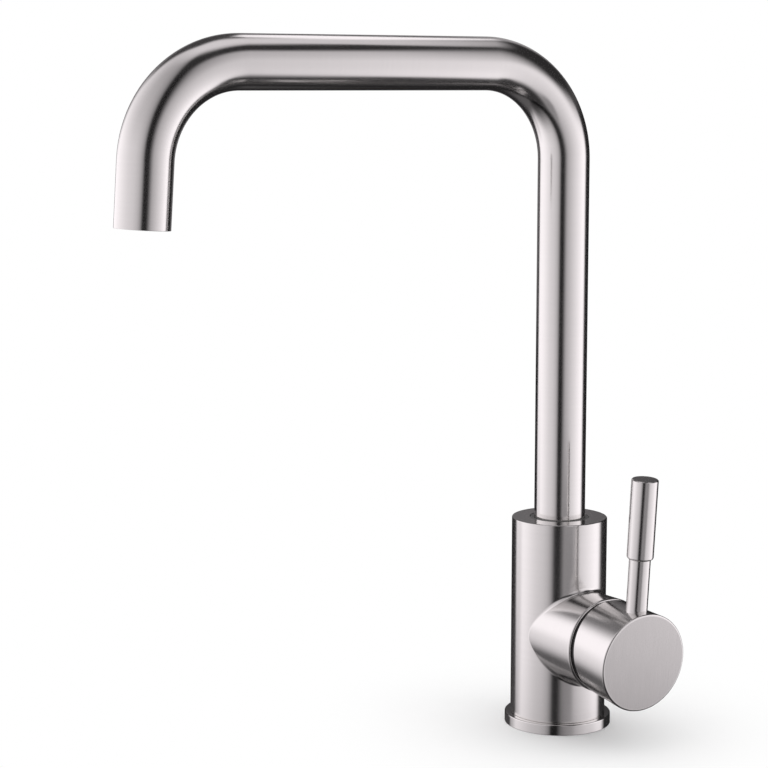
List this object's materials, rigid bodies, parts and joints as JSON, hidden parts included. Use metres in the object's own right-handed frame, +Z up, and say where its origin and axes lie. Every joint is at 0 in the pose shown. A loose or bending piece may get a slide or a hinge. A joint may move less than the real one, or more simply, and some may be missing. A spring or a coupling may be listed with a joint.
{
  "type": "kitchen faucet",
  "caption": "Deck-mounted kitchen mixer tap: upright column, square-bent swivel tube spout and a side lever handle that turns and tips a ceramic disc cartridge.",
  "frame": {"origin": "centre of the column's foot, on the deck surface", "axes": "+Z up along the column, spout towards -Y at rest, lever barrel along +X"},
  "size_m": [0.0969, 0.2503, 0.3242],
  "materials": {
    "brushed_steel": "fine brushed, bright",
    "dome_steel": "blackened",
    "screw_steel": "plain",
    "brass": "turned",
    "seal_rubber": "matte",
    "cartridge_plastic": "moulded",
    "bush_plastic": "moulded",
    "aerator_plastic": "moulded",
    "ceramic": "lapped"
  },
  "bodies": {
    "body": {"mixer_body": "brushed_steel", "base_ring": "brushed_steel", "deck_seal": "seal_rubber", "cartridge_base": "cartridge_plastic", "port_seals": "seal_rubber", "disc_seals": "seal_rubber", "fixed_disc": "ceramic", "cartridge_housing": "cartridge_plastic", "cartridge_nut": "brass", "cartridge_dome": "dome_steel", "spout_lower_bush": "bush_plastic", "spout_upper_bush": "bush_plastic", "spout_retaining_screw": "screw_steel"},
    "spout": {"spout_tube": "brushed_steel", "spout_shank": "brass", "spout_o_rings": "seal_rubber", "outlet_bush": "brass", "aerator_washer": "seal_rubber", "aerator_housing": "aerator_plastic", "aerator_insert": "aerator_plastic"},
    "turret": {"cartridge_turret": "cartridge_plastic", "stem_pivot_pin": "screw_steel"},
    "handle": {"cartridge_stem": "screw_steel", "handle_cap": "brushed_steel", "handle_grub_screw": "screw_steel", "screw_plug": "bush_plastic", "lever_rod": "brushed_steel", "lever_grip": "brushed_steel"},
    "disc": {"moving_disc": "ceramic", "disc_carrier": "cartridge_plastic"}
  },
  "joints": [
    {"name": "spout_swivel", "type": "hinge", "parent": "body", "child": "spout", "pos_m": [0, 0, 0.1], "axis": [0, 0, 1], "continuous": true},
    {"name": "handle_turn", "type": "hinge", "parent": "body", "child": "turret", "pos_m": [0.04206, 0, 0.046], "axis": [1, 0, 0], "range_deg": [-45, 45]},
    {"name": "handle_tilt", "type": "hinge", "parent": "turret", "child": "handle", "pos_m": [0.04206, 0, 0.046], "axis": [0, 1, 0], "range_deg": [0, 12]},
    {"name": "disc_slide", "type": "slide", "parent": "turret", "child": "disc", "axis": [0, 0, 1], "range_m": [0, 0.0022]}
  ],
  "couplings": [
    {"joint": "disc_slide", "follows": "handle_tilt", "m_per_rad": 0.01031}
  ]
}
